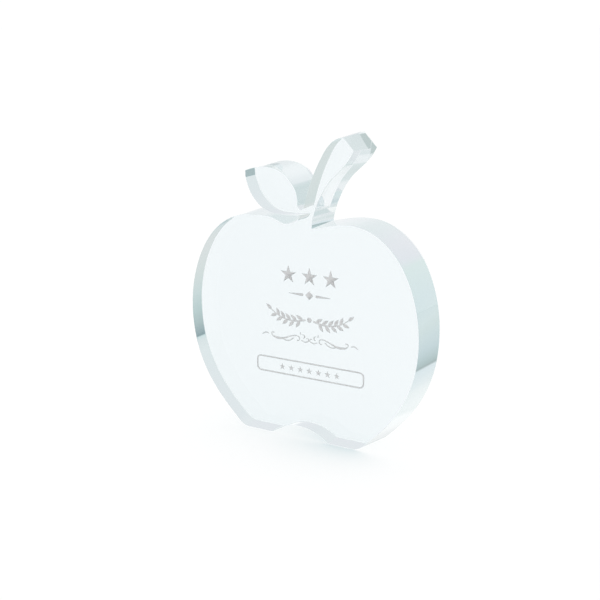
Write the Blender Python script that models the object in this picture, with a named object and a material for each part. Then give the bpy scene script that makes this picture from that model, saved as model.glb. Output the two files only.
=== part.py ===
"""Apple-shaped desk award cut from one thick slab of clear acrylic.

The slab stands on two flat feet with a shallow arch between them.  Stem and
leaf are part of the same slab.  Its side walls flare outward a little from the
front face to the back face.  The decoration is engraved into the back face and
read through the slab: every mark is a shallow pocket with its own thin body of
grey filler lying in it.

Frame: X to the right along the front face, Y from the front face (-Y) to the
back face (+Y), Z up.  Origin on the ground, at the centre of the slab.
Outline figures below are millimetres in the plane of the front face.
"""
import math

import bmesh
import bpy

# ---------------------------------------------------------------- dimensions
MM = 0.001
THICKNESS = 18.0            # slab, front face to back face
HALF_WIDTH = 66.2           # front face, centre line to the widest point
LOBE_TOP = 110.8            # height of the two lobes beside the stem
FOOT_INNER = 16.8           # centre line to the inner end of each foot
FOOT_OUTER = 31.0           # centre line to the outer end of each foot's flat
ARCH_RISE = 5.9             # height of the arch between the feet
WALL_FLARE = 1.7            # how far the back outline stands outside the front,
                            # down the sides; it differs a little round the top

POCKET_DEPTH = 0.9          # engraving, measured in from the back face
FLOOR_GAP = 0.3             # filler to the pocket's floor
MARK_X = -1.05              # the engraving sits this far off the middle
SIDE_GAP = 0.2              # filler to the pocket's wall
FILL_RECESS = 0.1           # filler below the back face

BACK_Y = THICKNESS / 2.0
FRONT_Y = -THICKNESS / 2.0


# ------------------------------------------------------------- plane geometry
def bezier(p, count):
    """Points of one cubic Bezier, without its last point."""
    pts = []
    for i in range(count):
        t = i / count
        u = 1.0 - t
        pts.append(tuple(u ** 3 * p[0][k] + 3 * u * u * t * p[1][k]
                         + 3 * u * t * t * p[2][k] + t ** 3 * p[3][k] for k in (0, 1)))
    return pts


def length(a, b):
    return math.hypot(b[0] - a[0], b[1] - a[1])


def unit(a, b):
    d = length(a, b)
    return ((b[0] - a[0]) / d, (b[1] - a[1]) / d)


def resample(pts, values, count):
    """`count` + 1 points evenly spaced along a polyline, with a value each."""
    run = [0.0]
    for a, b in zip(pts, pts[1:]):
        run.append(run[-1] + length(a, b))
    out, vals, j = [], [], 0
    for i in range(count + 1):
        s = run[-1] * i / count
        while j < len(pts) - 2 and run[j + 1] < s:
            j += 1
        f = min(max((s - run[j]) / max(run[j + 1] - run[j], 1e-12), 0.0), 1.0)
        out.append(tuple(pts[j][k] + f * (pts[j + 1][k] - pts[j][k]) for k in (0, 1)))
        vals.append(values[j] + f * (values[j + 1] - values[j]))
    return out, vals


def section(curves, flares, count):
    """Chain of Beziers: the front polyline and how far each point flares."""
    pts, vals = [], []
    for c, curve in enumerate(curves):
        fine = 60
        pts += bezier(curve, fine)
        vals += [flares[c] + (flares[c + 1] - flares[c]) * i / fine for i in range(fine)]
    pts.append(tuple(curves[-1][3]))
    vals.append(flares[-1])
    return resample(pts, vals, count)


def straight(a, b, flare):
    return [tuple(a), tuple(b)], [flare, flare]


def shifted(pts, dist):
    """Polyline moved outward (to its right) by its own distance at each point."""
    out = []
    for i, p in enumerate(pts):
        a = pts[max(i - 1, 0)]
        b = pts[min(i + 1, len(pts) - 1)]
        d = unit(a, b)
        out.append((p[0] + d[1] * dist[i], p[1] - d[0] * dist[i]))
    return out


def crossing(a, b, c, d):
    """Where segment a-b meets segment c-d, or None."""
    r = (b[0] - a[0], b[1] - a[1])
    s = (d[0] - c[0], d[1] - c[1])
    den = r[0] * s[1] - r[1] * s[0]
    if abs(den) < 1e-12:
        return None
    t = ((c[0] - a[0]) * s[1] - (c[1] - a[1]) * s[0]) / den
    u = ((c[0] - a[0]) * r[1] - (c[1] - a[1]) * r[0]) / den
    if -1e-9 <= t <= 1 + 1e-9 and -1e-9 <= u <= 1 + 1e-9:
        return (a[0] + t * r[0], a[1] + t * r[1])
    return None


def meet(before, after, corner):
    """Trim two neighbouring shifted polylines to the point where they meet."""
    reach = 8.0
    d = unit(before[-2], before[-1])
    before = before + [(before[-1][0] + d[0] * reach, before[-1][1] + d[1] * reach)]
    d = unit(after[1], after[0])
    after = [(after[0][0] + d[0] * reach, after[0][1] + d[1] * reach)] + after
    best = None
    for i in range(len(before) - 1):
        for j in range(len(after) - 1):
            p = crossing(before[i], before[i + 1], after[j], after[j + 1])
            if p and (best is None or length(p, corner) < length(best[0], corner)):
                best = (p, i, j)
    p, i, j = best
    return before[:i + 1] + [p], [p] + after[j + 1:]


def flared(sections):
    """Front and back outlines with one back point for each front point."""
    backs = [shifted(pts, dist) for pts, dist in sections]
    n = len(sections)
    for k in range(n):
        nxt = (k + 1) % n
        backs[k], backs[nxt] = meet(backs[k], backs[nxt], sections[k][0][-1])
    front, back = [], []
    for (pts, _), rear in zip(sections, backs):
        rear, _ = resample(rear, [0.0] * len(rear), len(pts) - 1)
        front += pts[:-1]
        back += [(x, max(z, 0.0)) for x, z in rear[:-1]]     # never below the feet
    return front, back


def grown(loop, dist):
    """Closed counter-clockwise loop moved outward, corners mitred."""
    out, n = [], len(loop)
    for i, p in enumerate(loop):
        d0 = unit(loop[i - 1], p)
        d1 = unit(p, loop[(i + 1) % n])
        n0, n1 = (d0[1], -d0[0]), (d1[1], -d1[0])
        k = dist / max(1.0 + n0[0] * n1[0] + n0[1] * n1[1], 0.35)
        out.append((p[0] + (n0[0] + n1[0]) * k, p[1] + (n0[1] + n1[1]) * k))
    return out


# ------------------------------------------------------------ outline of slab
def mirrored(curve):
    """The same Bezier on the other side of the centre line, run backwards."""
    return [(-x, z) for x, z in reversed(curve)]


FOOT_CORNER = [(FOOT_OUTER, 0.0), (34.0, 0.0), (36.3, 1.9), (38.36, 3.91)]
BODY_LOW = [(38.36, 3.91), (47.8, 12.9), (HALF_WIDTH, 28.3), (HALF_WIDTH, 59.9)]
BODY_MID = [(HALF_WIDTH, 59.9), (HALF_WIDTH, 71.4), (63.0, 84.1), (56.7, 94.0)]
BODY_HIGH = [(56.7, 94.0), (50.4, 103.7), (40.8, LOBE_TOP), (28.8, LOBE_TOP)]
LOBE_RIGHT = [(28.8, LOBE_TOP), (19.3, LOBE_TOP), (12.1, 107.7), (7.0, 107.2)]
STEM_RIGHT = [[(7.0, 107.2), (7.2, 114.6), (12.8, 127.2), (20.3, 134.0)],
              [(20.3, 134.0), (26.6, 139.8), (28.3, 141.9), (30.4, 146.2)]]
STEM_END = (24.5, 152.1)
STEM_LEFT = [[STEM_END, (19.2, 151.9), (15.3, 146.9), (13.5, 143.8)],
             [(13.5, 143.8), (10.4, 138.5), (6.6, 132.0), (2.9, 118.6)]]
SLOT = [[(2.9, 118.6), (2.5, 117.2), (1.9, 115.9), (1.0, 115.9)],
        [(1.0, 115.9), (-0.3, 115.9), (-1.1, 117.1), (-1.1, 118.8)]]
LEAF_TOP = [[(-1.1, 118.8), (-1.1, 124.0), (-2.9, 127.1), (-6.5, 130.5)],
            [(-6.5, 130.5), (-11.5, 135.3), (-20.0, 137.0), (-31.7, 132.6)]]
LEAF_TIP = (-31.5, 129.0)
LEAF_LOW = [[LEAF_TIP, (-30.2, 125.1), (-29.0, 120.6), (-23.5, 116.2)],
            [(-23.5, 116.2), (-17.8, 111.7), (-10.3, 112.0), (0.2, 113.1)]]
DIP = [[(0.2, 113.1), (0.1, 110.4), (-4.6, 108.2), (-7.6, 108.2)],
       [(-7.6, 108.2), (-10.7, 108.2), (-12.3, 109.8), (-17.0, 110.8)],
       [(-17.0, 110.8), (-20.9, 111.6), (-24.6, LOBE_TOP), (-28.8, LOBE_TOP)]]


def arch(count):
    """Circular arch between the feet, from the left foot to the right foot."""
    radius = (FOOT_INNER ** 2 + ARCH_RISE ** 2) / (2 * ARCH_RISE)
    half = math.asin(FOOT_INNER / radius)
    pts = [(radius * math.sin(-half + 2 * half * i / count),
            radius * math.cos(-half + 2 * half * i / count) - radius + ARCH_RISE)
           for i in range(count + 1)]
    pts[0], pts[-1] = (-FOOT_INNER, 0.0), (FOOT_INNER, 0.0)
    return pts, [1.0] * (count + 1)


def slab_sections():
    """The outline, counter-clockwise from the right foot, corner to corner.
    The number beside each curve's end is how far the back flares out there."""
    f = WALL_FLARE
    return [
        section([FOOT_CORNER, BODY_LOW, BODY_MID, BODY_HIGH, LOBE_RIGHT], [0.0, f, f, 2.3, 1.2, 1.5], 72),
        section(STEM_RIGHT, [1.5, 0.9, 1.9], 22),
        straight(STEM_RIGHT[1][3], STEM_END, 1.5),
        section(STEM_LEFT + SLOT + LEAF_TOP, [1.0, 1.2, 0.7, 0.7, 1.4, 2.2, 0.4], 64),
        straight(LEAF_TOP[1][3], LEAF_TIP, 1.5),
        section(LEAF_LOW, [1.5, 1.0, 0.6], 24),
        section(DIP + [mirrored(BODY_HIGH), mirrored(BODY_MID), mirrored(BODY_LOW), mirrored(FOOT_CORNER)],
                [0.6, 0.6, 0.5, 0.5, f, f, f, 0.0], 84),
        straight((-FOOT_OUTER, 0.0), (-FOOT_INNER, 0.0), 0.0),
        arch(16),
        straight((FOOT_INNER, 0.0), (FOOT_OUTER, 0.0), 0.0),
    ]


# ------------------------------------------------------------ engraved figures
def star(cx, cz, radius):
    """Five-pointed star with one point up."""
    inner = radius * math.sin(math.radians(18)) / math.sin(math.radians(54))
    return [(cx + (radius if i % 2 == 0 else inner) * math.cos(math.radians(90 + 36 * i)),
             cz + (radius if i % 2 == 0 else inner) * math.sin(math.radians(90 + 36 * i)))
            for i in range(10)]


def lozenge(cx, cz, half_w, half_h):
    return [(cx + half_w, cz), (cx, cz + half_h), (cx - half_w, cz), (cx, cz - half_h)]


def disc(cx, cz, radius, count=16):
    return [(cx + radius * math.cos(2 * math.pi * i / count),
             cz + radius * math.sin(2 * math.pi * i / count)) for i in range(count)]


def smooth_path(knots, count):
    """Catmull-Rom curve through knots of (x, z, width)."""
    k = [knots[0]] + list(knots) + [knots[-1]]
    out = []
    for s in range(1, len(k) - 2):
        for i in range(count):
            t = i / count
            out.append(tuple(0.5 * (2 * k[s][c] + (k[s + 1][c] - k[s - 1][c]) * t
                                    + (2 * k[s - 1][c] - 5 * k[s][c] + 4 * k[s + 1][c] - k[s + 2][c]) * t * t
                                    + (3 * k[s][c] - k[s - 1][c] - 3 * k[s + 1][c] + k[s + 2][c]) * t ** 3)
                             for c in (0, 1, 2)))
    out.append(tuple(knots[-1]))
    return out


def stroke(knots, count=3, cap=3):
    """Pen stroke of varying width along a curve, with round ends."""
    path = smooth_path(knots, count)
    right, left = [], []
    for i, (x, z, w) in enumerate(path):
        a, b = path[max(i - 1, 0)], path[min(i + 1, len(path) - 1)]
        d = unit(a, b)
        right.append((x + d[1] * w / 2, z - d[0] * w / 2))
        left.append((x - d[1] * w / 2, z + d[0] * w / 2))
    loop = list(right)
    for end, side in ((-1, 1), (0, -1)):
        x, z, w = path[end]
        d = unit(path[-2], path[-1]) if end == -1 else unit(path[1], path[0])
        start = math.atan2(-d[0], d[1])
        for i in range(1, cap):
            a = start + math.pi * i / cap
            loop.append((x + math.cos(a) * w / 2, z + math.sin(a) * w / 2))
        if end == -1:
            loop += list(reversed(left))
    return loop


def flip(loop):
    """Mirror image of a loop in the centre line, still counter-clockwise."""
    return [(-x, z) for x, z in reversed(loop)]


def sprig():
    """Laurel sprig of the right-hand side: its stalk, then two sets of leaves."""
    p0, p1, p2 = (2.6, 58.0), (14.0, 54.6), (22.8, 61.2)

    def stalk(t):
        u = 1 - t
        pos = tuple(u * u * p0[k] + 2 * u * t * p1[k] + t * t * p2[k] for k in (0, 1))
        return pos, unit((0.0, 0.0), tuple(2 * u * (p1[k] - p0[k]) + 2 * t * (p2[k] - p1[k])
                                           for k in (0, 1)))

    def leaf(t, turn, size, fat):
        """Pointed leaf that grows from the stalk's centre line."""
        (x, z), tan = stalk(t)
        a = math.atan2(tan[1], tan[0]) + math.radians(turn)
        ca, sa = math.cos(a), math.sin(a)
        side = [(0.10, 0.40), (0.27, 0.86), (0.46, 1.0), (0.66, 0.80), (0.85, 0.38)]
        pts = [(0.0, 0.0)] + [(s * size, -w * fat) for s, w in side] + [(size, 0.0)]
        pts += [(s * size, w * fat) for s, w in reversed(side)]
        return [(x + ca * s - sa * w, z + sa * s + ca * w) for s, w in pts]

    stem = stroke([(*stalk(t)[0], 0.95 - 0.45 * t) for t in (0.0, 0.2, 0.4, 0.6, 0.8, 1.0)], 2)
    low = [leaf(t, -46, 4.7 - 0.6 * t, 0.92) for t in (0.13, 0.30, 0.47, 0.64, 0.81)]
    high = [leaf(t, 44, 4.9 - 0.6 * t, 0.92) for t in (0.05, 0.22, 0.39, 0.56, 0.73)]
    return [[stem], low + [leaf(0.985, 4, 4.3, 0.9)], high]


def rounded_box(half_w, z0, z1, radius, per_corner=6):
    loop = []
    for cx, cz, start in ((half_w - radius, z0 + radius, -90), (half_w - radius, z1 - radius, 0),
                          (-half_w + radius, z1 - radius, 90), (-half_w + radius, z0 + radius, 180)):
        for i in range(per_corner + 1):
            a = math.radians(start + 90 * i / per_corner)
            loop.append((MARK_X + cx + radius * math.cos(a), cz + radius * math.sin(a)))
    return loop


SCROLL = [(21.4, 49.2, 0.75), (22.35, 49.15, 0.55), (22.6, 48.2, 0.5), (21.7, 47.25, 0.7), (20.0, 46.8, 1.05),
          (17.9, 46.65, 1.2), (15.6, 46.95, 1.0), (13.2, 47.8, 0.75), (10.8, 48.75, 0.65),
          (8.6, 49.35, 0.6), (6.9, 49.35, 0.55), (5.9, 48.55, 0.5), (6.0, 47.45, 0.5), (7.0, 46.9, 0.7)]
VINE = [(16.2, 46.75, 0.4), (14.3, 46.15, 0.55), (12.4, 46.2, 0.6), (10.7, 46.9, 0.6), (9.2, 48.05, 0.4)]
FLICK = [(24.3, 48.15, 0.35), (25.5, 48.55, 0.6), (26.9, 48.3, 0.6), (28.3, 47.35, 0.3)]
DROP = [(5.2, 51.3, 0.35), (5.1, 50.4, 0.7)]
COMMA = [(4.0, 50.4, 0.35), (2.95, 50.0, 0.6), (2.8, 49.0, 0.6), (3.5, 48.3, 0.4)]
KNOT = [(-4.7, 47.3, 0.4), (-2.7, 46.75, 0.6), (-1.1, 47.1, 0.6), (0.0, 47.9, 0.6),
        (0.95, 48.75, 0.55), (1.6, 48.65, 0.35)]


def engraved_marks():
    """Every mark by name, as layers.  The loops of one layer stand clear of
    each other; a mark of several layers is their union."""
    marks = {
        "star_left": [[star(-12.4, 80.4, 4.85)]],
        "star_middle": [[star(0.0, 80.4, 4.85)]],
        "star_right": [[star(12.4, 80.4, 4.85)]],
        "rule_diamond": [[lozenge(0.0, 71.0, 2.3, 2.3)]],
        "rule_right": [[stroke([(4.3, 71.0, 1.5), (8.0, 71.0, 0.9), (12.0, 71.0, 0.35)], 2)]],
        "laurel_right": sprig(),
        "laurel_berry": [[disc(0.0, 58.4, 1.35)]],
        "scroll_right": [[stroke(SCROLL)], [stroke(VINE)]],
        "scroll_knot": [[stroke(KNOT)], [flip(stroke(KNOT))]],
        "flick_right": [[stroke(FLICK)]],
        "drop_right": [[stroke(DROP, 4)]],
        "comma_right": [[stroke(COMMA)]],
    }
    for name in ("rule", "laurel", "scroll", "flick", "drop", "comma"):
        marks[name + "_left"] = [[flip(loop) for loop in layer] for layer in marks[name + "_right"]]
    for i in range(7):
        marks["frame_star_%d" % (i + 1)] = [[star(5.4 * (i - 3), 31.8, 1.85)]]
    return {name: [[[(x + MARK_X, z) for x, z in loop] for loop in layer] for layer in layers]
            for name, layers in marks.items()}


FRAME_OUTER = (31.9, 27.75, 36.25, 2.7)
FRAME_INNER = (31.1, 28.55, 35.45, 1.9)


# --------------------------------------------------------------------- solids
def clear_scene():
    for obj in list(bpy.data.objects):
        bpy.data.objects.remove(obj, do_unlink=True)


def material(name, color, roughness, transmission=0.0, ior=1.45):
    mat = bpy.data.materials.new(name)
    mat.use_nodes = True
    bsdf = mat.node_tree.nodes["Principled BSDF"]
    bsdf.inputs["Base Color"].default_value = (*color, 1.0)
    bsdf.inputs["Roughness"].default_value = roughness
    bsdf.inputs["Metallic"].default_value = 0.0
    bsdf.inputs["IOR"].default_value = ior
    bsdf.inputs["Transmission Weight"].default_value = transmission
    mat.diffuse_color = (*color, 1.0)
    return mat


def mesh_object(name, bm, mat=None):
    bmesh.ops.recalc_face_normals(bm, faces=bm.faces[:])
    mesh = bpy.data.meshes.new(name)
    bm.to_mesh(mesh)
    bm.free()
    obj = bpy.data.objects.new(name, mesh)
    bpy.context.scene.collection.objects.link(obj)
    if mat:
        mesh.materials.append(mat)
    return obj


def add_ring(bm, loop, y):
    return [bm.verts.new((x * MM, y * MM, z * MM)) for x, z in loop]


def add_prism(bm, loop, y0, y1):
    """Closed prism over a counter-clockwise loop, from y0 to y1."""
    a, b = add_ring(bm, loop, y0), add_ring(bm, loop, y1)
    bm.faces.new(a)
    bm.faces.new(list(reversed(b)))
    for i in range(len(loop)):
        j = (i + 1) % len(loop)
        bm.faces.new((a[j], a[i], b[i], b[j]))


def add_tube(bm, outer, inner, y0, y1):
    """Closed ring-shaped prism between two loops of equal point count."""
    rings = [add_ring(bm, outer, y0), add_ring(bm, outer, y1),
             add_ring(bm, inner, y1), add_ring(bm, inner, y0)]
    for k in range(4):
        a, b = rings[k], rings[(k + 1) % 4]
        for i in range(len(outer)):
            j = (i + 1) % len(outer)
            bm.faces.new((a[i], a[j], b[j], b[i]))


def build_slab(mat):
    front, back = flared(slab_sections())
    bm = bmesh.new()
    a, b = add_ring(bm, front, FRONT_Y), add_ring(bm, back, BACK_Y)
    bm.faces.new(a)
    bm.faces.new(list(reversed(b)))
    for i in range(len(front)):
        j = (i + 1) % len(front)
        bm.faces.new((a[j], a[i], b[i]))
        bm.faces.new((a[j], b[i], b[j]))
    slab = mesh_object("acrylic_slab", bm, mat)
    slab.data.shade_smooth()
    slab.data.set_sharp_from_angle(angle=math.radians(28))
    return slab


def guide(obj):
    """A body that only shapes another one."""
    obj.hide_render = True
    obj.display_type = "WIRE"
    return obj


def cut(target, tool, operation="DIFFERENCE"):
    mod = target.modifiers.new(tool.name, "BOOLEAN")
    mod.operation = operation
    mod.solver = "EXACT"
    mod.object = tool


def engrave(slab, marks):
    """Cut every pocket out of the slab, one guide body for each layer."""
    y0, y1 = BACK_Y - POCKET_DEPTH, BACK_Y + 0.8
    for depth in range(max(len(layers) for layers in marks.values())):
        bm = bmesh.new()
        for layers in marks.values():
            for loop in (layers[depth] if depth < len(layers) else []):
                add_prism(bm, grown(loop, SIDE_GAP), y0, y1)
        if depth == 0:
            add_tube(bm, grown(rounded_box(*FRAME_OUTER), SIDE_GAP),
                     grown(rounded_box(*FRAME_INNER), -SIDE_GAP), y0, y1)
        cut(slab, guide(mesh_object("engraving_%d" % depth, bm)))


def fill_mark(name, layers, mat):
    """Filler of one mark: its first layer joined with the others."""
    y0 = BACK_Y - POCKET_DEPTH + FLOOR_GAP
    y1 = BACK_Y - FILL_RECESS
    fill = None
    for k, layer in enumerate(layers):
        bm = bmesh.new()
        for loop in layer:
            add_prism(bm, loop, y0, y1)
        if k == 0:
            fill = mesh_object(name, bm, mat)
        else:
            cut(fill, guide(mesh_object("%s_layer_%d" % (name, k), bm)), "UNION")
    return fill


def build():
    clear_scene()
    grey = (0.46, 0.47, 0.48)
    slab = build_slab(material("clear_acrylic", (0.90, 0.96, 0.97), 0.03, 1.0, 1.49))
    marks = engraved_marks()
    engrave(slab, marks)
    for name, layers in marks.items():
        fill_mark(name, layers, material(name + "_fill", grey, 0.6))
    bm = bmesh.new()
    add_tube(bm, rounded_box(*FRAME_OUTER), rounded_box(*FRAME_INNER),
             BACK_Y - POCKET_DEPTH + FLOOR_GAP, BACK_Y - FILL_RECESS)
    mesh_object("name_frame", bm, material("name_frame_fill", grey, 0.6))


build()
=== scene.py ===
import math

import bmesh
import bpy
from mathutils import Matrix, Vector


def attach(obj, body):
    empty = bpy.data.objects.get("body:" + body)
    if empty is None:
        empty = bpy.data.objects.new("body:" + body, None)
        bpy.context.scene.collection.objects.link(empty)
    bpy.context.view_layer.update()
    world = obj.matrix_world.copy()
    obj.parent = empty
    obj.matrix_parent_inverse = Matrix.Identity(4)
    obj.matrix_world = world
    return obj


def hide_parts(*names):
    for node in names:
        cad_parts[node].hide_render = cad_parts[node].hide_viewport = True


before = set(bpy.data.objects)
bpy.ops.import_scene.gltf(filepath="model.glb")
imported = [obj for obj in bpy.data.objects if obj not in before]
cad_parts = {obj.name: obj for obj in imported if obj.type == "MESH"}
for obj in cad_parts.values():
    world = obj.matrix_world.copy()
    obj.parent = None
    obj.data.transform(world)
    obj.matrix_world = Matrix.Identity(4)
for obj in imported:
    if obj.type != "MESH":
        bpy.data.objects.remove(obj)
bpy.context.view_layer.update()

MM = 0.001

# ------------------------------------------------------------ dimensions (mm)
THICKNESS = 18.0
HALF_WIDTH = 66.2
LOBE_TOP = 110.8
FOOT_INNER = 16.8
FOOT_OUTER = 31.0
ARCH_RISE = 5.9
WALL_FLARE = 1.7
EDGE_RADIUS = 0.28          # polished edge round both faces
BACK_Y, FRONT_Y = THICKNESS / 2.0, -THICKNESS / 2.0
POCKET_FLOOR_Y = 8.68       # engraving seen from the front ends here
FILL_FRONT_Y = 8.72
FILL_BACK_Y = 8.90
FILL_SLOPE = 0.13           # depth of the bevel round the front of each engraved mark
BROAD = {"star_left": 0.62, "star_middle": 0.62, "star_right": 0.62, "rule_diamond": 0.6}   # its width on broad marks
MARK_X = -1.05              # the engraving sits this far off the middle
SIDE_GAP = 0.04

# Light that has been mirrored inside the acrylic this many times goes straight
# out, which keeps the walls as clear as they are in strong studio light.
BODY_BOUNCES, STEM_BOUNCES, STEM_X, STEM_Z = 1, 2, 0.0037, 0.128
# Painted shadow on the floor close to the feet: light bound for the floor that passes the slab low down is darkened.
# These set how high up the slab it reaches, how it gets weaker to the left, and its shade colour beside the clear
# slab's own.
FOOT_SHADE_Z, FOOT_SHADE_X, FOOT_SHADE_LEFT = (0.010, 0.034), (-0.018, 0.014), 0.2
FOOT_SHADE, CLEAR_TINT = (0.44, 0.61, 0.65, 1.0), (0.993, 0.996, 0.996, 1.0)


# ------------------------------------------------------------- plane geometry
def bezier(p, count):
    pts = []
    for i in range(count):
        t = i / count
        u = 1.0 - t
        pts.append(tuple(u ** 3 * p[0][k] + 3 * u * u * t * p[1][k]
                         + 3 * u * t * t * p[2][k] + t ** 3 * p[3][k] for k in (0, 1)))
    return pts


def length(a, b):
    return math.hypot(b[0] - a[0], b[1] - a[1])


def unit(a, b):
    d = length(a, b)
    return ((b[0] - a[0]) / d, (b[1] - a[1]) / d)


def resample(pts, values, count):
    run = [0.0]
    for a, b in zip(pts, pts[1:]):
        run.append(run[-1] + length(a, b))
    out, vals, j = [], [], 0
    for i in range(count + 1):
        s = run[-1] * i / count
        while j < len(pts) - 2 and run[j + 1] < s:
            j += 1
        f = min(max((s - run[j]) / max(run[j + 1] - run[j], 1e-12), 0.0), 1.0)
        out.append(tuple(pts[j][k] + f * (pts[j + 1][k] - pts[j][k]) for k in (0, 1)))
        vals.append(values[j] + f * (values[j + 1] - values[j]))
    return out, vals


def section(curves, flares, count):
    pts, vals = [], []
    for c, curve in enumerate(curves):
        fine = 120
        pts += bezier(curve, fine)
        vals += [flares[c] + (flares[c + 1] - flares[c]) * i / fine for i in range(fine)]
    pts.append(tuple(curves[-1][3]))
    vals.append(flares[-1])
    return resample(pts, vals, count)


def straight(a, b, flare, count):
    return resample([tuple(a), tuple(b)], [flare, flare], count)


def shifted(pts, dist):
    out = []
    for i, p in enumerate(pts):
        d = unit(pts[max(i - 1, 0)], pts[min(i + 1, len(pts) - 1)])
        out.append((p[0] + d[1] * dist[i], p[1] - d[0] * dist[i]))
    return out


def crossing(a, b, c, d):
    r = (b[0] - a[0], b[1] - a[1])
    s = (d[0] - c[0], d[1] - c[1])
    den = r[0] * s[1] - r[1] * s[0]
    if abs(den) < 1e-12:
        return None
    t = ((c[0] - a[0]) * s[1] - (c[1] - a[1]) * s[0]) / den
    u = ((c[0] - a[0]) * r[1] - (c[1] - a[1]) * r[0]) / den
    if -1e-9 <= t <= 1 + 1e-9 and -1e-9 <= u <= 1 + 1e-9:
        return (a[0] + t * r[0], a[1] + t * r[1])
    return None


def meet(before, after, corner):
    """Trim two neighbouring shifted polylines to the point where they meet."""
    reach, look = 8.0, 40
    d = unit(before[-2], before[-1])
    before = before + [(before[-1][0] + d[0] * reach, before[-1][1] + d[1] * reach)]
    d = unit(after[1], after[0])
    after = [(after[0][0] + d[0] * reach, after[0][1] + d[1] * reach)] + after
    best = None
    for i in range(max(len(before) - look, 0), len(before) - 1):
        for j in range(min(len(after) - 1, look)):
            p = crossing(before[i], before[i + 1], after[j], after[j + 1])
            if p and (best is None or length(p, corner) < length(best[0], corner)):
                best = (p, i, j)
    p, i, j = best
    return before[:i + 1] + [p], [p] + after[j + 1:]


def ring(sections, share, inset):
    """Outline at `share` of the way from the front to the back, moved in by inset."""
    lines = [shifted(pts, [v * share - inset for v in dist]) for pts, dist in sections]
    n = len(sections)
    for k in range(n):
        nxt = (k + 1) % n
        lines[k], lines[nxt] = meet(lines[k], lines[nxt], sections[k][0][-1])
    out = []
    for (pts, _), line in zip(sections, lines):
        line, _ = resample(line, [0.0] * len(line), len(pts) - 1)
        out += line[:-1]
    return out


def grown(loop, dist):
    """Closed counter-clockwise loop moved outward, corners mitred."""
    out, n = [], len(loop)
    for i, p in enumerate(loop):
        d0 = unit(loop[i - 1], p)
        d1 = unit(p, loop[(i + 1) % n])
        n0, n1 = (d0[1], -d0[0]), (d1[1], -d1[0])
        k = dist / max(1.0 + n0[0] * n1[0] + n0[1] * n1[1], 0.35)
        out.append((p[0] + (n0[0] + n1[0]) * k, p[1] + (n0[1] + n1[1]) * k))
    return out


# ------------------------------------------------------------ outline of slab
def mirrored(curve):
    return [(-x, z) for x, z in reversed(curve)]


FOOT_CORNER = [(FOOT_OUTER, 0.0), (34.0, 0.0), (36.3, 1.9), (38.36, 3.91)]
BODY_LOW = [(38.36, 3.91), (47.8, 12.9), (HALF_WIDTH, 28.3), (HALF_WIDTH, 59.9)]
BODY_MID = [(HALF_WIDTH, 59.9), (HALF_WIDTH, 71.4), (63.0, 84.1), (56.7, 94.0)]
BODY_HIGH = [(56.7, 94.0), (50.4, 103.7), (40.8, LOBE_TOP), (28.8, LOBE_TOP)]
LOBE_RIGHT = [(28.8, LOBE_TOP), (19.3, LOBE_TOP), (12.1, 107.7), (7.0, 107.2)]
STEM_RIGHT = [[(7.0, 107.2), (7.2, 114.6), (12.8, 127.2), (20.3, 134.0)],
              [(20.3, 134.0), (26.6, 139.8), (28.3, 141.9), (30.4, 146.2)]]
STEM_END = (24.5, 152.1)
STEM_LEFT = [[STEM_END, (19.2, 151.9), (15.3, 146.9), (13.5, 143.8)],
             [(13.5, 143.8), (10.4, 138.5), (6.6, 132.0), (2.9, 118.6)]]
SLOT = [[(2.9, 118.6), (2.5, 117.2), (1.9, 115.9), (1.0, 115.9)],
        [(1.0, 115.9), (-0.3, 115.9), (-1.1, 117.1), (-1.1, 118.8)]]
LEAF_TOP = [[(-1.1, 118.8), (-1.1, 124.0), (-2.9, 127.1), (-6.5, 130.5)],
            [(-6.5, 130.5), (-11.5, 135.3), (-20.0, 137.0), (-31.7, 132.6)]]
LEAF_TIP = (-31.5, 129.0)
LEAF_LOW = [[LEAF_TIP, (-30.2, 125.1), (-29.0, 120.6), (-23.5, 116.2)],
            [(-23.5, 116.2), (-17.8, 111.7), (-10.3, 112.0), (0.2, 113.1)]]
DIP = [[(0.2, 113.1), (0.1, 110.4), (-4.6, 108.2), (-7.6, 108.2)],
       [(-7.6, 108.2), (-10.7, 108.2), (-12.3, 109.8), (-17.0, 110.8)],
       [(-17.0, 110.8), (-20.9, 111.6), (-24.6, LOBE_TOP), (-28.8, LOBE_TOP)]]


def arch(count):
    radius = (FOOT_INNER ** 2 + ARCH_RISE ** 2) / (2 * ARCH_RISE)
    half = math.asin(FOOT_INNER / radius)
    pts = [(radius * math.sin(-half + 2 * half * i / count),
            radius * math.cos(-half + 2 * half * i / count) - radius + ARCH_RISE)
           for i in range(count + 1)]
    pts[0], pts[-1] = (-FOOT_INNER, 0.0), (FOOT_INNER, 0.0)
    return pts, [1.0] * (count + 1)


def slab_sections():
    f = WALL_FLARE
    return [
        section([FOOT_CORNER, BODY_LOW, BODY_MID, BODY_HIGH, LOBE_RIGHT], [0.0, f, f, 2.3, 1.2, 1.5], 270),
        section(STEM_RIGHT, [1.5, 0.9, 1.9], 80),
        straight(STEM_RIGHT[1][3], STEM_END, 1.5, 12),
        section(STEM_LEFT + SLOT + LEAF_TOP, [1.0, 1.2, 0.7, 0.7, 1.4, 2.2, 0.4], 260),
        straight(LEAF_TOP[1][3], LEAF_TIP, 1.5, 6),
        section(LEAF_LOW, [1.5, 1.0, 0.6], 100),
        section(DIP + [mirrored(BODY_HIGH), mirrored(BODY_MID), mirrored(BODY_LOW), mirrored(FOOT_CORNER)],
                [0.6, 0.6, 0.5, 0.5, f, f, f, 0.0], 310),
        straight((-FOOT_OUTER, 0.0), (-FOOT_INNER, 0.0), 0.0, 20),
        arch(70),
        straight((FOOT_INNER, 0.0), (FOOT_OUTER, 0.0), 0.0, 20),
    ]


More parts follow.
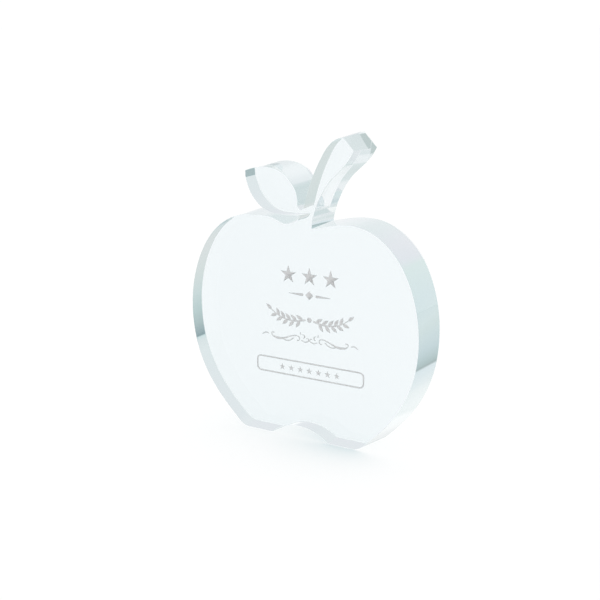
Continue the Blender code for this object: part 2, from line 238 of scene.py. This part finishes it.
# ------------------------------------------------------------ engraved figures
def star(cx, cz, radius):
    inner = radius * math.sin(math.radians(18)) / math.sin(math.radians(54))
    return [(cx + (radius if i % 2 == 0 else inner) * math.cos(math.radians(90 + 36 * i)),
             cz + (radius if i % 2 == 0 else inner) * math.sin(math.radians(90 + 36 * i)))
            for i in range(10)]


def lozenge(cx, cz, half_w, half_h):
    return [(cx + half_w, cz), (cx, cz + half_h), (cx - half_w, cz), (cx, cz - half_h)]


def disc(cx, cz, radius, count=32):
    return [(cx + radius * math.cos(2 * math.pi * i / count),
             cz + radius * math.sin(2 * math.pi * i / count)) for i in range(count)]


def smooth_path(knots, count):
    k = [knots[0]] + list(knots) + [knots[-1]]
    out = []
    for s in range(1, len(k) - 2):
        for i in range(count):
            t = i / count
            out.append(tuple(0.5 * (2 * k[s][c] + (k[s + 1][c] - k[s - 1][c]) * t
                                    + (2 * k[s - 1][c] - 5 * k[s][c] + 4 * k[s + 1][c] - k[s + 2][c]) * t * t
                                    + (3 * k[s][c] - k[s - 1][c] - 3 * k[s + 1][c] + k[s + 2][c]) * t ** 3)
                             for c in (0, 1, 2)))
    out.append(tuple(knots[-1]))
    return out


def stroke(knots, count=7, cap=6):
    path = smooth_path(knots, count)
    right, left = [], []
    for i, (x, z, w) in enumerate(path):
        a, b = path[max(i - 1, 0)], path[min(i + 1, len(path) - 1)]
        d = unit(a, b)
        right.append((x + d[1] * w / 2, z - d[0] * w / 2))
        left.append((x - d[1] * w / 2, z + d[0] * w / 2))
    loop = list(right)
    for end in (-1, 0):
        x, z, w = path[end]
        d = unit(path[-2], path[-1]) if end == -1 else unit(path[1], path[0])
        start = math.atan2(-d[0], d[1])
        for i in range(1, cap):
            a = start + math.pi * i / cap
            loop.append((x + math.cos(a) * w / 2, z + math.sin(a) * w / 2))
        if end == -1:
            loop += list(reversed(left))
    return loop


def flip(loop):
    return [(-x, z) for x, z in reversed(loop)]


def sprig():
    """Laurel sprig of the right-hand side: its stalk, then two sets of leaves."""
    p0, p1, p2 = (2.6, 58.0), (14.0, 54.6), (22.8, 61.2)

    def stalk(t):
        u = 1 - t
        pos = tuple(u * u * p0[k] + 2 * u * t * p1[k] + t * t * p2[k] for k in (0, 1))
        return pos, unit((0.0, 0.0), tuple(2 * u * (p1[k] - p0[k]) + 2 * t * (p2[k] - p1[k])
                                           for k in (0, 1)))

    def leaf(t, turn, size, fat):
        (x, z), tan = stalk(t)
        a = math.atan2(tan[1], tan[0]) + math.radians(turn)
        ca, sa = math.cos(a), math.sin(a)
        side = [(0.05, 0.20), (0.10, 0.40), (0.18, 0.64), (0.27, 0.86), (0.36, 0.97), (0.46, 1.0),
                (0.56, 0.93), (0.66, 0.80), (0.76, 0.61), (0.85, 0.38), (0.93, 0.17)]
        pts = [(0.0, 0.0)] + [(s * size, -w * fat) for s, w in side] + [(size, 0.0)]
        pts += [(s * size, w * fat) for s, w in reversed(side)]
        return [(x + ca * s - sa * w, z + sa * s + ca * w) for s, w in pts]

    stem = stroke([(*stalk(t)[0], 0.95 - 0.45 * t) for t in (0.0, 0.2, 0.4, 0.6, 0.8, 1.0)], 5)
    low = [leaf(t, -46, 4.7 - 0.6 * t, 0.92) for t in (0.13, 0.30, 0.47, 0.64, 0.81)]
    high = [leaf(t, 44, 4.9 - 0.6 * t, 0.92) for t in (0.05, 0.22, 0.39, 0.56, 0.73)]
    return [[stem], low + [leaf(0.985, 4, 4.3, 0.9)], high]


def rounded_box(half_w, z0, z1, radius, per_corner=12):
    loop = []
    for cx, cz, start in ((half_w - radius, z0 + radius, -90), (half_w - radius, z1 - radius, 0),
                          (-half_w + radius, z1 - radius, 90), (-half_w + radius, z0 + radius, 180)):
        for i in range(per_corner + 1):
            a = math.radians(start + 90 * i / per_corner)
            loop.append((MARK_X + cx + radius * math.cos(a), cz + radius * math.sin(a)))
    return loop


SCROLL = [(21.4, 49.2, 0.75), (22.35, 49.15, 0.55), (22.6, 48.2, 0.5), (21.7, 47.25, 0.7), (20.0, 46.8, 1.05),
          (17.9, 46.65, 1.2), (15.6, 46.95, 1.0), (13.2, 47.8, 0.75), (10.8, 48.75, 0.65),
          (8.6, 49.35, 0.6), (6.9, 49.35, 0.55), (5.9, 48.55, 0.5), (6.0, 47.45, 0.5), (7.0, 46.9, 0.7)]
VINE = [(16.2, 46.75, 0.4), (14.3, 46.15, 0.55), (12.4, 46.2, 0.6), (10.7, 46.9, 0.6), (9.2, 48.05, 0.4)]
FLICK = [(24.3, 48.15, 0.35), (25.5, 48.55, 0.6), (26.9, 48.3, 0.6), (28.3, 47.35, 0.3)]
DROP = [(5.2, 51.3, 0.35), (5.1, 50.4, 0.7)]
COMMA = [(4.0, 50.4, 0.35), (2.95, 50.0, 0.6), (2.8, 49.0, 0.6), (3.5, 48.3, 0.4)]
KNOT = [(-4.7, 47.3, 0.4), (-2.7, 46.75, 0.6), (-1.1, 47.1, 0.6), (0.0, 47.9, 0.6),
        (0.95, 48.75, 0.55), (1.6, 48.65, 0.35)]


def engraved_marks():
    """Every mark by name, as layers of loops that stand clear of each other."""
    marks = {
        "star_left": [[star(-12.4, 80.4, 4.85)]],
        "star_middle": [[star(0.0, 80.4, 4.85)]],
        "star_right": [[star(12.4, 80.4, 4.85)]],
        "rule_diamond": [[lozenge(0.0, 71.0, 2.3, 2.3)]],
        "rule_right": [[stroke([(4.3, 71.0, 1.5), (8.0, 71.0, 0.9), (12.0, 71.0, 0.35)], 4)]],
        "laurel_right": sprig(),
        "laurel_berry": [[disc(0.0, 58.4, 1.35)]],
        "scroll_right": [[stroke(SCROLL)], [stroke(VINE)]],
        "scroll_knot": [[stroke(KNOT)], [flip(stroke(KNOT))]],
        "flick_right": [[stroke(FLICK)]],
        "drop_right": [[stroke(DROP, 6)]],
        "comma_right": [[stroke(COMMA)]],
    }
    for name in ("rule", "laurel", "scroll", "flick", "drop", "comma"):
        marks[name + "_left"] = [[flip(loop) for loop in layer] for layer in marks[name + "_right"]]
    for i in range(7):
        marks["frame_star_%d" % (i + 1)] = [[star(5.4 * (i - 3), 31.8, 1.85)]]
    return {name: [[[(x + MARK_X, z) for x, z in loop] for loop in layer] for layer in layers]
            for name, layers in marks.items()}


FRAME_OUTER = (31.9, 27.75, 36.25, 2.7)
FRAME_INNER = (31.1, 28.55, 35.45, 1.9)


# --------------------------------------------------------------------- meshes
def mesh_object(name, bm):
    bmesh.ops.recalc_face_normals(bm, faces=bm.faces[:])
    mesh = bpy.data.meshes.new(name)
    bm.to_mesh(mesh)
    bm.free()
    obj = bpy.data.objects.new(name, mesh)
    bpy.context.scene.collection.objects.link(obj)
    return obj


def add_loop(bm, loop, y):
    return [bm.verts.new((x * MM, y * MM, z * MM)) for x, z in loop]


def add_stack(bm, loops):
    """Closed body over (loop, y) pairs from the front to the back."""
    rings = [add_loop(bm, loop, y) for loop, y in loops]
    bm.faces.new(rings[0])
    bm.faces.new(list(reversed(rings[-1])))
    for a, b in zip(rings, rings[1:]):
        for i in range(len(a)):
            j = (i + 1) % len(a)
            bm.faces.new((a[j], a[i], b[i], b[j]))


def add_tube(bm, rings):
    """Closed ring-shaped body whose cross-section is the list of (loop, y)."""
    rings = [add_loop(bm, loop, y) for loop, y in rings]
    for k in range(len(rings)):
        a, b = rings[k], rings[(k + 1) % len(rings)]
        for i in range(len(a)):
            j = (i + 1) % len(a)
            bm.faces.new((a[i], a[j], b[j], b[i]))


def boolean(target, tool, operation):
    """Apply one exact Boolean to target's mesh, and remove the tool."""
    mod = target.modifiers.new("cut", "BOOLEAN")
    mod.operation, mod.solver, mod.object = operation, "EXACT", tool
    depsgraph = bpy.context.evaluated_depsgraph_get()
    mesh = bpy.data.meshes.new_from_object(target.evaluated_get(depsgraph), depsgraph=depsgraph)
    target.modifiers.clear()
    old, target.data = target.data, mesh
    bpy.data.meshes.remove(old)
    old = tool.data
    bpy.data.objects.remove(tool)
    bpy.data.meshes.remove(old)


def smooth(obj, angle):
    obj.data.shade_smooth()
    obj.data.set_sharp_from_angle(angle=math.radians(angle))


def build_slab():
    sections = slab_sections()
    r, t = EDGE_RADIUS, THICKNESS
    flat = 0.1                  # strip beside the edge round that keeps faces and walls flat
    rings = [(ring(sections, 0.0, r + flat), FRONT_Y)]
    for k in (0, 1, 2, 3):
        a = math.radians(30 * k)
        y = r * (1 - math.cos(a))
        rings.append((ring(sections, y / t, r * (1 - math.sin(a))), FRONT_Y + y))
    for share in ((r + flat) / t, 0.25, 0.5, 0.75, 1 - (r + flat) / t):
        rings.append((ring(sections, share, 0.0), FRONT_Y + share * t))
    for k in (3, 2, 1, 0):
        a = math.radians(30 * k)
        y = r * (1 - math.cos(a))
        rings.append((ring(sections, 1 - y / t, r * (1 - math.sin(a))), BACK_Y - y))
    rings.append((ring(sections, 1.0, r + flat), BACK_Y))
    # The edge round stays above the ground.
    low = [(loop, y) for loop, y in rings]
    low = [([(x, max(z, 0.0)) for x, z in loop], y) for loop, y in low]
    bm = bmesh.new()
    add_stack(bm, low)
    return mesh_object("acrylic_body", bm)


def build_marks(slab):
    marks = engraved_marks()
    depth = max(len(layers) for layers in marks.values())
    for level in range(depth):
        bm = bmesh.new()
        for layers in marks.values():
            for loop in (layers[level] if level < len(layers) else []):
                add_stack(bm, [(grown(loop, SIDE_GAP - FILL_SLOPE), POCKET_FLOOR_Y),
                               (grown(loop, SIDE_GAP), POCKET_FLOOR_Y + FILL_SLOPE),
                               (grown(loop, SIDE_GAP), BACK_Y + 0.5)])
        if level == 0:
            o, i, g, s = rounded_box(*FRAME_OUTER), rounded_box(*FRAME_INNER), SIDE_GAP, FILL_SLOPE
            add_tube(bm, [(grown(o, g - s), POCKET_FLOOR_Y), (grown(o, g), POCKET_FLOOR_Y + s),
                          (grown(o, g), BACK_Y + 0.5), (grown(i, -g), BACK_Y + 0.5),
                          (grown(i, -g), POCKET_FLOOR_Y + s), (grown(i, s - g), POCKET_FLOOR_Y)])
        boolean(slab, mesh_object("pocket_cutter", bm), "DIFFERENCE")

    pieces = {}
    for name, layers in marks.items():
        fill, slope = None, BROAD.get(name, FILL_SLOPE)
        for layer in layers:
            bm = bmesh.new()
            for loop in layer:
                add_stack(bm, [(grown(loop, -slope), FILL_FRONT_Y), (loop, FILL_FRONT_Y + FILL_SLOPE),
                               (loop, FILL_BACK_Y)])
            body = mesh_object("engraved_" + name, bm)
            if fill is None:
                fill = body
            else:
                boolean(fill, body, "UNION")
        pieces[name] = fill
    o, i, s = rounded_box(*FRAME_OUTER), rounded_box(*FRAME_INNER), FILL_SLOPE
    bm = bmesh.new()
    add_tube(bm, [(grown(o, -s), FILL_FRONT_Y), (o, FILL_FRONT_Y + s), (o, FILL_BACK_Y),
                  (i, FILL_BACK_Y), (i, FILL_FRONT_Y + s), (grown(i, s), FILL_FRONT_Y)])
    pieces["name_frame"] = mesh_object("engraved_name_frame", bm)
    return pieces


# ------------------------------------------------------------------ materials
def node_material(name):
    mat = bpy.data.materials.new(name)
    mat.use_nodes = True
    nt = mat.node_tree
    nt.nodes.clear()
    return mat, nt, nt.nodes, nt.links


def acrylic_material():
    """Clear cast acrylic with polished faces."""
    mat, nt, nodes, links = node_material("clear_cast_acrylic")
    out = nodes.new("ShaderNodeOutputMaterial")
    bsdf = nodes.new("ShaderNodeBsdfPrincipled")
    bsdf.inputs["Base Color"].default_value = (0.90, 0.94, 0.955, 1.0)
    bsdf.inputs["IOR"].default_value = 1.49
    bsdf.inputs["Transmission Weight"].default_value = 1.0
    bsdf.inputs["Roughness"].default_value = 0.0
    absorb = nodes.new("ShaderNodeVolumeAbsorption")
    absorb.inputs["Color"].default_value = (0.0, 0.57, 0.71, 1.0)
    absorb.inputs["Density"].default_value = 0.9
    clear = nodes.new("ShaderNodeBsdfTransparent")
    path = nodes.new("ShaderNodeLightPath")
    far = nodes.new("ShaderNodeMath")
    far.operation = "GREATER_THAN"
    coord = nodes.new("ShaderNodeTexCoord")
    split = nodes.new("ShaderNodeSeparateXYZ")
    above = nodes.new("ShaderNodeMath")
    above.operation = "GREATER_THAN"
    above.inputs[1].default_value = STEM_Z
    right = nodes.new("ShaderNodeMath")
    right.operation = "GREATER_THAN"
    right.inputs[1].default_value = STEM_X
    stem = nodes.new("ShaderNodeMath")
    stem.operation = "MULTIPLY"
    limit = nodes.new("ShaderNodeMath")
    limit.operation = "MULTIPLY_ADD"
    limit.inputs[1].default_value = STEM_BOUNCES - BODY_BOUNCES
    limit.inputs[2].default_value = BODY_BOUNCES + 0.5
    mix = nodes.new("ShaderNodeMixShader")
    links.new(coord.outputs["Object"], split.inputs["Vector"])
    links.new(split.outputs["Z"], above.inputs[0])
    links.new(split.outputs["X"], right.inputs[0])
    links.new(above.outputs["Value"], stem.inputs[0])
    links.new(right.outputs["Value"], stem.inputs[1])
    links.new(stem.outputs["Value"], limit.inputs[0])
    links.new(limit.outputs["Value"], far.inputs[1])
    links.new(path.outputs["Glossy Depth"], far.inputs[0])
    links.new(far.outputs["Value"], mix.inputs["Fac"])
    links.new(bsdf.outputs["BSDF"], mix.inputs[1])
    links.new(clear.outputs["BSDF"], mix.inputs[2])
    # Light for the floor and the engraving passes straight through. Close to the feet it is darkened where it comes
    # out of the front face or the arch, which paints a shadow on the floor; the slab seen directly stays clear there.
    shade = nodes.new("ShaderNodeBsdfTransparent")
    foot = nodes.new("ShaderNodeMapRange")
    foot.interpolation_type = "SMOOTHSTEP"
    foot.inputs["From Min"].default_value, foot.inputs["From Max"].default_value = FOOT_SHADE_Z
    foot.inputs["To Min"].default_value, foot.inputs["To Max"].default_value = 1.0, 0.0
    side = nodes.new("ShaderNodeMapRange")
    side.interpolation_type = "SMOOTHSTEP"
    side.inputs["From Min"].default_value, side.inputs["From Max"].default_value = FOOT_SHADE_X
    side.inputs["To Min"].default_value, side.inputs["To Max"].default_value = FOOT_SHADE_LEFT, 1.0
    geo = nodes.new("ShaderNodeNewGeometry")
    facing = nodes.new("ShaderNodeSeparateXYZ")
    front = nodes.new("ShaderNodeMath")
    front.operation = "LESS_THAN"
    front.inputs[1].default_value = -0.5
    below = nodes.new("ShaderNodeMath")
    below.operation = "LESS_THAN"
    below.inputs[1].default_value = -0.6
    inner = nodes.new("ShaderNodeMath")
    inner.operation = "LESS_THAN"
    inner.inputs[1].default_value = FOOT_INNER * MM
    half = nodes.new("ShaderNodeMath")
    half.operation = "MULTIPLY"
    half.inputs[1].default_value = 0.4
    arch = nodes.new("ShaderNodeMath")
    arch.operation = "MULTIPLY"
    shade_exit_faces = nodes.new("ShaderNodeMath")
    shade_exit_faces.operation = "MAXIMUM"
    outside = nodes.new("ShaderNodeMath")
    outside.operation = "SUBTRACT"
    outside.inputs[0].default_value = 1.0
    links.new(split.outputs["Z"], foot.inputs["Value"])
    links.new(split.outputs["X"], side.inputs["Value"])
    links.new(geo.outputs["Normal"], facing.inputs["Vector"])
    links.new(facing.outputs["Y"], front.inputs[0])
    links.new(facing.outputs["Z"], below.inputs[0])
    links.new(split.outputs["X"], inner.inputs[0])
    links.new(below.outputs["Value"], half.inputs[0])
    links.new(half.outputs["Value"], arch.inputs[0])
    links.new(inner.outputs["Value"], arch.inputs[1])
    links.new(front.outputs["Value"], shade_exit_faces.inputs[0])
    links.new(arch.outputs["Value"], shade_exit_faces.inputs[1])
    links.new(geo.outputs["Backfacing"], outside.inputs[1])
    amount = foot.outputs["Result"]
    for factor in (side.outputs["Result"], shade_exit_faces.outputs["Value"], outside.outputs["Value"]):
        times = nodes.new("ShaderNodeMath")
        times.operation = "MULTIPLY"
        links.new(amount, times.inputs[0])
        links.new(factor, times.inputs[1])
        amount = times.outputs["Value"]
    # Painted shadow colour: goes from CLEAR_TINT to the darker FOOT_SHADE by the amount above.
    floor_shade_tint = nodes.new("ShaderNodeMix")
    floor_shade_tint.data_type = "RGBA"
    floor_shade_tint.inputs[6].default_value = CLEAR_TINT
    floor_shade_tint.inputs[7].default_value = FOOT_SHADE
    links.new(amount, floor_shade_tint.inputs["Factor"])
    links.new(floor_shade_tint.outputs[2], shade.inputs["Color"])
    scattered = nodes.new("ShaderNodeMath")
    scattered.operation = "GREATER_THAN"
    scattered.inputs[1].default_value = 0.5
    passing = nodes.new("ShaderNodeMath")
    passing.operation = "MAXIMUM"
    links.new(path.outputs["Diffuse Depth"], scattered.inputs[0])
    links.new(scattered.outputs["Value"], passing.inputs[0])
    links.new(path.outputs["Is Shadow Ray"], passing.inputs[1])
    whole = nodes.new("ShaderNodeMixShader")
    links.new(passing.outputs["Value"], whole.inputs["Fac"])
    links.new(mix.outputs["Shader"], whole.inputs[1])
    links.new(shade.outputs["BSDF"], whole.inputs[2])
    links.new(whole.outputs["Shader"], out.inputs["Surface"])
    links.new(absorb.outputs["Volume"], out.inputs["Volume"])
    return mat


def engraving_material():
    """Matt grey engraved surface: fine grain, with painted shade darker where the bevel slopes away down to the right
    and a painted highlight where it faces up to the left.
    """
    mat, nt, nodes, links = node_material("frosted_grey_engraving")
    out = nodes.new("ShaderNodeOutputMaterial")
    bsdf = nodes.new("ShaderNodeBsdfPrincipled")
    bsdf.inputs["Roughness"].default_value = 0.75
    bsdf.inputs["Specular IOR Level"].default_value = 0.3
    coord = nodes.new("ShaderNodeTexCoord")
    noise = nodes.new("ShaderNodeTexNoise")
    noise.inputs["Scale"].default_value = 900.0
    noise.inputs["Detail"].default_value = 4.0
    ramp = nodes.new("ShaderNodeValToRGB")
    ramp.color_ramp.elements[0].position = 0.3
    ramp.color_ramp.elements[0].color = (0.60, 0.56, 0.55, 1.0)
    ramp.color_ramp.elements[1].position = 0.7
    ramp.color_ramp.elements[1].color = (0.72, 0.67, 0.66, 1.0)
    bump = nodes.new("ShaderNodeBump")
    bump.inputs["Strength"].default_value = 0.25
    bump.inputs["Distance"].default_value = 0.0001
    links.new(coord.outputs["Object"], noise.inputs["Vector"])
    links.new(noise.outputs["Fac"], ramp.inputs["Fac"])
    # Painted shade and highlight: colour lighter where a surface faces up to the left and darker where it faces down
    # to the right, as if lit from the upper left.
    geo = nodes.new("ShaderNodeNewGeometry")
    painted_light_facing = nodes.new("ShaderNodeVectorMath")
    painted_light_facing.operation = "DOT_PRODUCT"
    painted_light_facing.inputs[1].default_value = (0.8, 0.0, -0.6)
    slope = nodes.new("ShaderNodeMapRange")
    slope.inputs["From Min"].default_value, slope.inputs["From Max"].default_value = -0.25, 0.25
    painted_bevel_shade = nodes.new("ShaderNodeValToRGB")
    painted_bevel_shade.color_ramp.elements[0].position, painted_bevel_shade.color_ramp.elements[0].color = 0.1, (1.08, 1.08, 1.08, 1.0)
    painted_bevel_shade.color_ramp.elements[1].position, painted_bevel_shade.color_ramp.elements[1].color = 0.9, (0.60, 0.60, 0.60, 1.0)
    middle = painted_bevel_shade.color_ramp.elements.new(0.5)
    middle.color = (1.0, 1.0, 1.0, 1.0)
    shade = nodes.new("ShaderNodeMix")
    shade.data_type, shade.blend_type = "RGBA", "MULTIPLY"
    shade.inputs["Factor"].default_value = 1.0
    links.new(geo.outputs["Normal"], painted_light_facing.inputs[0])
    links.new(painted_light_facing.outputs["Value"], slope.inputs["Value"])
    links.new(slope.outputs["Result"], painted_bevel_shade.inputs["Fac"])
    links.new(ramp.outputs["Color"], shade.inputs[6])
    links.new(painted_bevel_shade.outputs["Color"], shade.inputs[7])
    sides = nodes.new("ShaderNodeSeparateXYZ")
    rear = nodes.new("ShaderNodeMath")
    rear.operation = "GREATER_THAN"
    rear.inputs[1].default_value = 0.5
    cool = nodes.new("ShaderNodeMix")
    cool.data_type, cool.blend_type = "RGBA", "MULTIPLY"
    cool.inputs[7].default_value = (0.90, 0.97, 0.985, 1.0)
    links.new(geo.outputs["Normal"], sides.inputs["Vector"])
    links.new(sides.outputs["Y"], rear.inputs[0])
    links.new(rear.outputs["Value"], cool.inputs["Factor"])
    links.new(shade.outputs[2], cool.inputs[6])
    links.new(cool.outputs[2], bsdf.inputs["Base Color"])
    links.new(noise.outputs["Fac"], bump.inputs["Height"])
    links.new(bump.outputs["Normal"], bsdf.inputs["Normal"])
    links.new(bsdf.outputs["BSDF"], out.inputs["Surface"])
    return mat


def floor_material():
    mat, nt, nodes, links = node_material("pale_studio_floor")
    out = nodes.new("ShaderNodeOutputMaterial")
    bsdf = nodes.new("ShaderNodeBsdfPrincipled")
    bsdf.inputs["Roughness"].default_value = 0.9
    bsdf.inputs["Specular IOR Level"].default_value = 0.0
    coord = nodes.new("ShaderNodeTexCoord")
    noise = nodes.new("ShaderNodeTexNoise")
    noise.inputs["Scale"].default_value = 300.0
    ramp = nodes.new("ShaderNodeValToRGB")
    ramp.color_ramp.elements[0].color = (0.975, 0.975, 0.975, 1.0)
    ramp.color_ramp.elements[1].color = (0.981, 0.981, 0.981, 1.0)
    links.new(coord.outputs["Object"], noise.inputs["Vector"])
    links.new(noise.outputs["Fac"], ramp.inputs["Fac"])
    links.new(ramp.outputs["Color"], bsdf.inputs["Base Color"])
    clear = nodes.new("ShaderNodeBsdfTransparent")
    path = nodes.new("ShaderNodeLightPath")
    seen = nodes.new("ShaderNodeMath")
    seen.operation = "GREATER_THAN"
    seen.inputs[1].default_value = 0.5
    mix = nodes.new("ShaderNodeMixShader")
    links.new(path.outputs["Glossy Depth"], seen.inputs[0])
    links.new(seen.outputs["Value"], mix.inputs["Fac"])
    links.new(bsdf.outputs["BSDF"], mix.inputs[1])
    links.new(clear.outputs["BSDF"], mix.inputs[2])
    links.new(mix.outputs["Shader"], out.inputs["Surface"])
    return mat


# ---------------------------------------------------------------------- build
acrylic = acrylic_material()
engraving = engraving_material()

slab = build_slab()
fills = build_marks(slab)
smooth(slab, 24)
slab.data.materials.clear()
slab.data.materials.append(acrylic)
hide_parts("acrylic_slab")
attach(slab, "root")
for name, piece in fills.items():
    smooth(piece, 24)
    piece.data.materials.clear()
    piece.data.materials.append(engraving)
    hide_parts(name)
    piece.visible_glossy = False
    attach(piece, "root")

# ----------------------------------------------------------------------- floor
bm = bmesh.new()
bmesh.ops.create_circle(bm, cap_ends=True, radius=6.0, segments=128)
floor = mesh_object("studio_floor", bm)
floor.data.materials.append(floor_material())
if floor.data.polygons[0].normal.z < 0:
    floor.data.flip_normals()
floor.location.z = -0.0001

# ----------------------------------------------------------------------- world
world = bpy.data.worlds.new("studio")
bpy.context.scene.world = world
world.use_nodes = True
nt = world.node_tree
nt.nodes.clear()
nodes, links = nt.nodes, nt.links
coord = nodes.new("ShaderNodeTexCoord")
split = nodes.new("ShaderNodeSeparateXYZ")
links.new(coord.outputs["Generated"], split.inputs["Vector"])


def between(socket, low, high, smooth_ends=True):
    """0 below low, 1 above high (or the other way round), as a node output."""
    n = nodes.new("ShaderNodeMapRange")
    n.inputs["From Min"].default_value, n.inputs["From Max"].default_value = low, high
    if smooth_ends:
        n.interpolation_type = "SMOOTHSTEP"
    links.new(socket, n.inputs["Value"])
    return n.outputs["Result"]


def above_line(slope, level_at):
    """Height over a line that climbs towards +Y and is level with Z at level_at."""
    n = nodes.new("ShaderNodeMath")
    n.operation = "MULTIPLY_ADD"
    n.inputs[1].default_value, n.inputs[2].default_value = -slope, slope * level_at
    total = nodes.new("ShaderNodeMath")
    total.operation = "ADD"
    links.new(split.outputs["Y"], n.inputs[0])
    links.new(split.outputs["Z"], total.inputs[0])
    links.new(n.outputs["Value"], total.inputs[1])
    return total.outputs["Value"]


def by_height(height, stops):
    """Colour by height, from (height, colour) stops."""
    n = nodes.new("ShaderNodeValToRGB")
    links.new(between(height, -1.0, 1.0, False), n.inputs["Fac"])
    el = n.color_ramp.elements
    for k, (height, colour) in enumerate(stops):
        pos = height / 2 + 0.5
        if k < 2:
            el[k].position = pos
            e = el[k]
        else:
            e = el.new(pos)
        e.color = (*colour, 1.0)
    return n.outputs["Color"]


def blend(factor, a, b):
    n = nodes.new("ShaderNodeMix")
    n.data_type = "RGBA"
    links.new(factor, n.inputs["Factor"])
    links.new(a, n.inputs[6])
    links.new(b, n.inputs[7])
    return n.outputs[2]


# Heights are sines of the elevation.  The studio table ends at a dark edge.
EDGE_BEHIND, EDGE_ASIDE = -0.018, -0.097
behind = by_height(split.outputs["Z"], [
    (-0.64, (0.97, 0.98, 0.98)), (-0.53, (0.80, 0.80, 0.79)), (-0.40, (0.71, 0.76, 0.74)), (-0.31, (0.64, 0.73, 0.72)), (-0.20, (0.52, 0.64, 0.63)),
    (-0.11, (0.43, 0.53, 0.53)), (EDGE_BEHIND - 0.030, (0.32, 0.42, 0.44)), (EDGE_BEHIND - 0.003, (0.24, 0.34, 0.36)),
    (EDGE_BEHIND + 0.003, (0.68, 0.80, 0.80)), (0.015, (0.77, 0.82, 0.82)), (0.1, (0.82, 0.86, 0.86)),
    (0.4, (0.84, 0.86, 0.87)), (0.8, (0.93, 0.93, 0.93))])
aside = by_height(above_line(-1.2, 0.617), [
    (-0.61, (0.85, 0.88, 0.88)), (-0.46, (0.865, 0.85, 0.88)), (-0.39, (0.84, 0.84, 0.87)), (-0.347, (0.78, 0.855, 0.835)),
    (-0.267, (0.75, 0.828, 0.835)), (-0.222, (0.77, 0.84, 0.835)), (-0.204, (0.73, 0.80, 0.79)),
    (-0.177, (0.685, 0.765, 0.775)), (-0.152, (0.62, 0.71, 0.73)), (-0.127, (0.53, 0.628, 0.636)),
    (-0.109, (0.453, 0.55, 0.548)), (EDGE_ASIDE - 0.0015, (0.38, 0.44, 0.44)), (EDGE_ASIDE + 0.0015, (0.785, 0.85, 0.875)),
    (-0.035, (0.87, 0.91, 0.915)), (0.0, (0.97, 0.98, 0.97)), (0.035, (1.02, 1.02, 1.01)),
    (0.065, (1.07, 1.06, 1.05)), (0.20, (1.10, 1.08, 1.07)), (0.26, (0.93, 0.93, 0.94)), (0.33, (0.87, 0.87, 0.89)), (0.8, (0.85, 0.85, 0.87))])
front = by_height(split.outputs["Z"], [
    (-0.9, (0.70, 0.76, 0.76)), (-0.6, (0.85, 0.88, 0.88)), (-0.4, (1.0, 1.0, 1.0)), (0.06, (1.0, 1.0, 1.0)),
    (0.09, (0.75, 0.82, 0.81)), (0.15, (0.69, 0.77, 0.76)), (0.4, (0.66, 0.74, 0.73)), (0.72, (0.69, 0.76, 0.76))])
front_side = by_height(split.outputs["Z"], [(-0.6, (0.82, 0.84, 0.855)), (0.4, (0.82, 0.84, 0.855))])
under_stem = nodes.new("ShaderNodeMath")
under_stem.operation = "MULTIPLY"
links.new(between(split.outputs["Z"], -0.55, -0.63), under_stem.inputs[0])
links.new(between(split.outputs["X"], -0.08, 0.0), under_stem.inputs[1])
dark_table = by_height(split.outputs["Z"], [(-0.75, (0.54, 0.61, 0.60)), (-0.60, (0.60, 0.68, 0.67))])
behind = blend(under_stem.outputs["Value"], behind, dark_table)
rear_light = blend(between(split.outputs["X"], -0.5, -0.2), aside, behind)
front_light = blend(between(split.outputs["X"], -0.45, -0.6), front, front_side)
studio = blend(between(split.outputs["Y"], 0.1, -0.1), rear_light, front_light)

back = nodes.new("ShaderNodeBackground")
links.new(studio, back.inputs["Color"])
white = nodes.new("ShaderNodeBackground")
white.inputs["Color"].default_value = (1.04, 1.04, 1.04, 1.0)
light = nodes.new("ShaderNodeLightPath")
mirrored_inside = nodes.new("ShaderNodeMath")
mirrored_inside.operation = "GREATER_THAN"
mirrored_inside.inputs[1].default_value = 0.5
direct = nodes.new("ShaderNodeMath")
direct.operation = "LESS_THAN"
direct.inputs[1].default_value = 0.5
both = nodes.new("ShaderNodeMath")
both.operation = "MULTIPLY"
mix = nodes.new("ShaderNodeMixShader")
out = nodes.new("ShaderNodeOutputWorld")
links.new(light.outputs["Glossy Depth"], mirrored_inside.inputs[0])
links.new(light.outputs["Diffuse Depth"], direct.inputs[0])
links.new(mirrored_inside.outputs["Value"], both.inputs[0])
links.new(direct.outputs["Value"], both.inputs[1])
links.new(both.outputs["Value"], mix.inputs["Fac"])
links.new(white.outputs["Background"], mix.inputs[1])
links.new(back.outputs["Background"], mix.inputs[2])
links.new(mix.outputs["Shader"], out.inputs["Surface"])

# ---------------------------------------------------------------------- camera
eye, aim, roll = Vector((0.3384, -0.5254, 0.2237)), Vector((0.0004, -0.009, 0.0712)), -0.16
cam_data = bpy.data.cameras.new("camera")
cam = bpy.data.objects.new("camera", cam_data)
bpy.context.scene.collection.objects.link(cam)
cam_data.sensor_fit = "HORIZONTAL"
cam_data.sensor_width = 36.0
cam_data.lens = 78.0
cam_data.clip_start, cam_data.clip_end = 0.01, 50.0
cam.matrix_world = (Matrix.Translation(eye) @ (aim - eye).to_track_quat("-Z", "Y").to_matrix().to_4x4()
                    @ Matrix.Rotation(math.radians(roll), 4, "Z"))
bpy.context.scene.camera = cam

scene = bpy.context.scene
scene.view_settings.view_transform = "Standard"
scene.view_settings.look = "None"
scene.cycles.max_bounces = 32
scene.cycles.transmission_bounces = 32
scene.cycles.glossy_bounces = 24
scene.cycles.transparent_max_bounces = 16
scene.cycles.diffuse_bounces = 4
scene.cycles.sample_clamp_indirect = 6.0
scene.cycles.use_denoising = True
scene.cycles.blur_glossy = 0.0
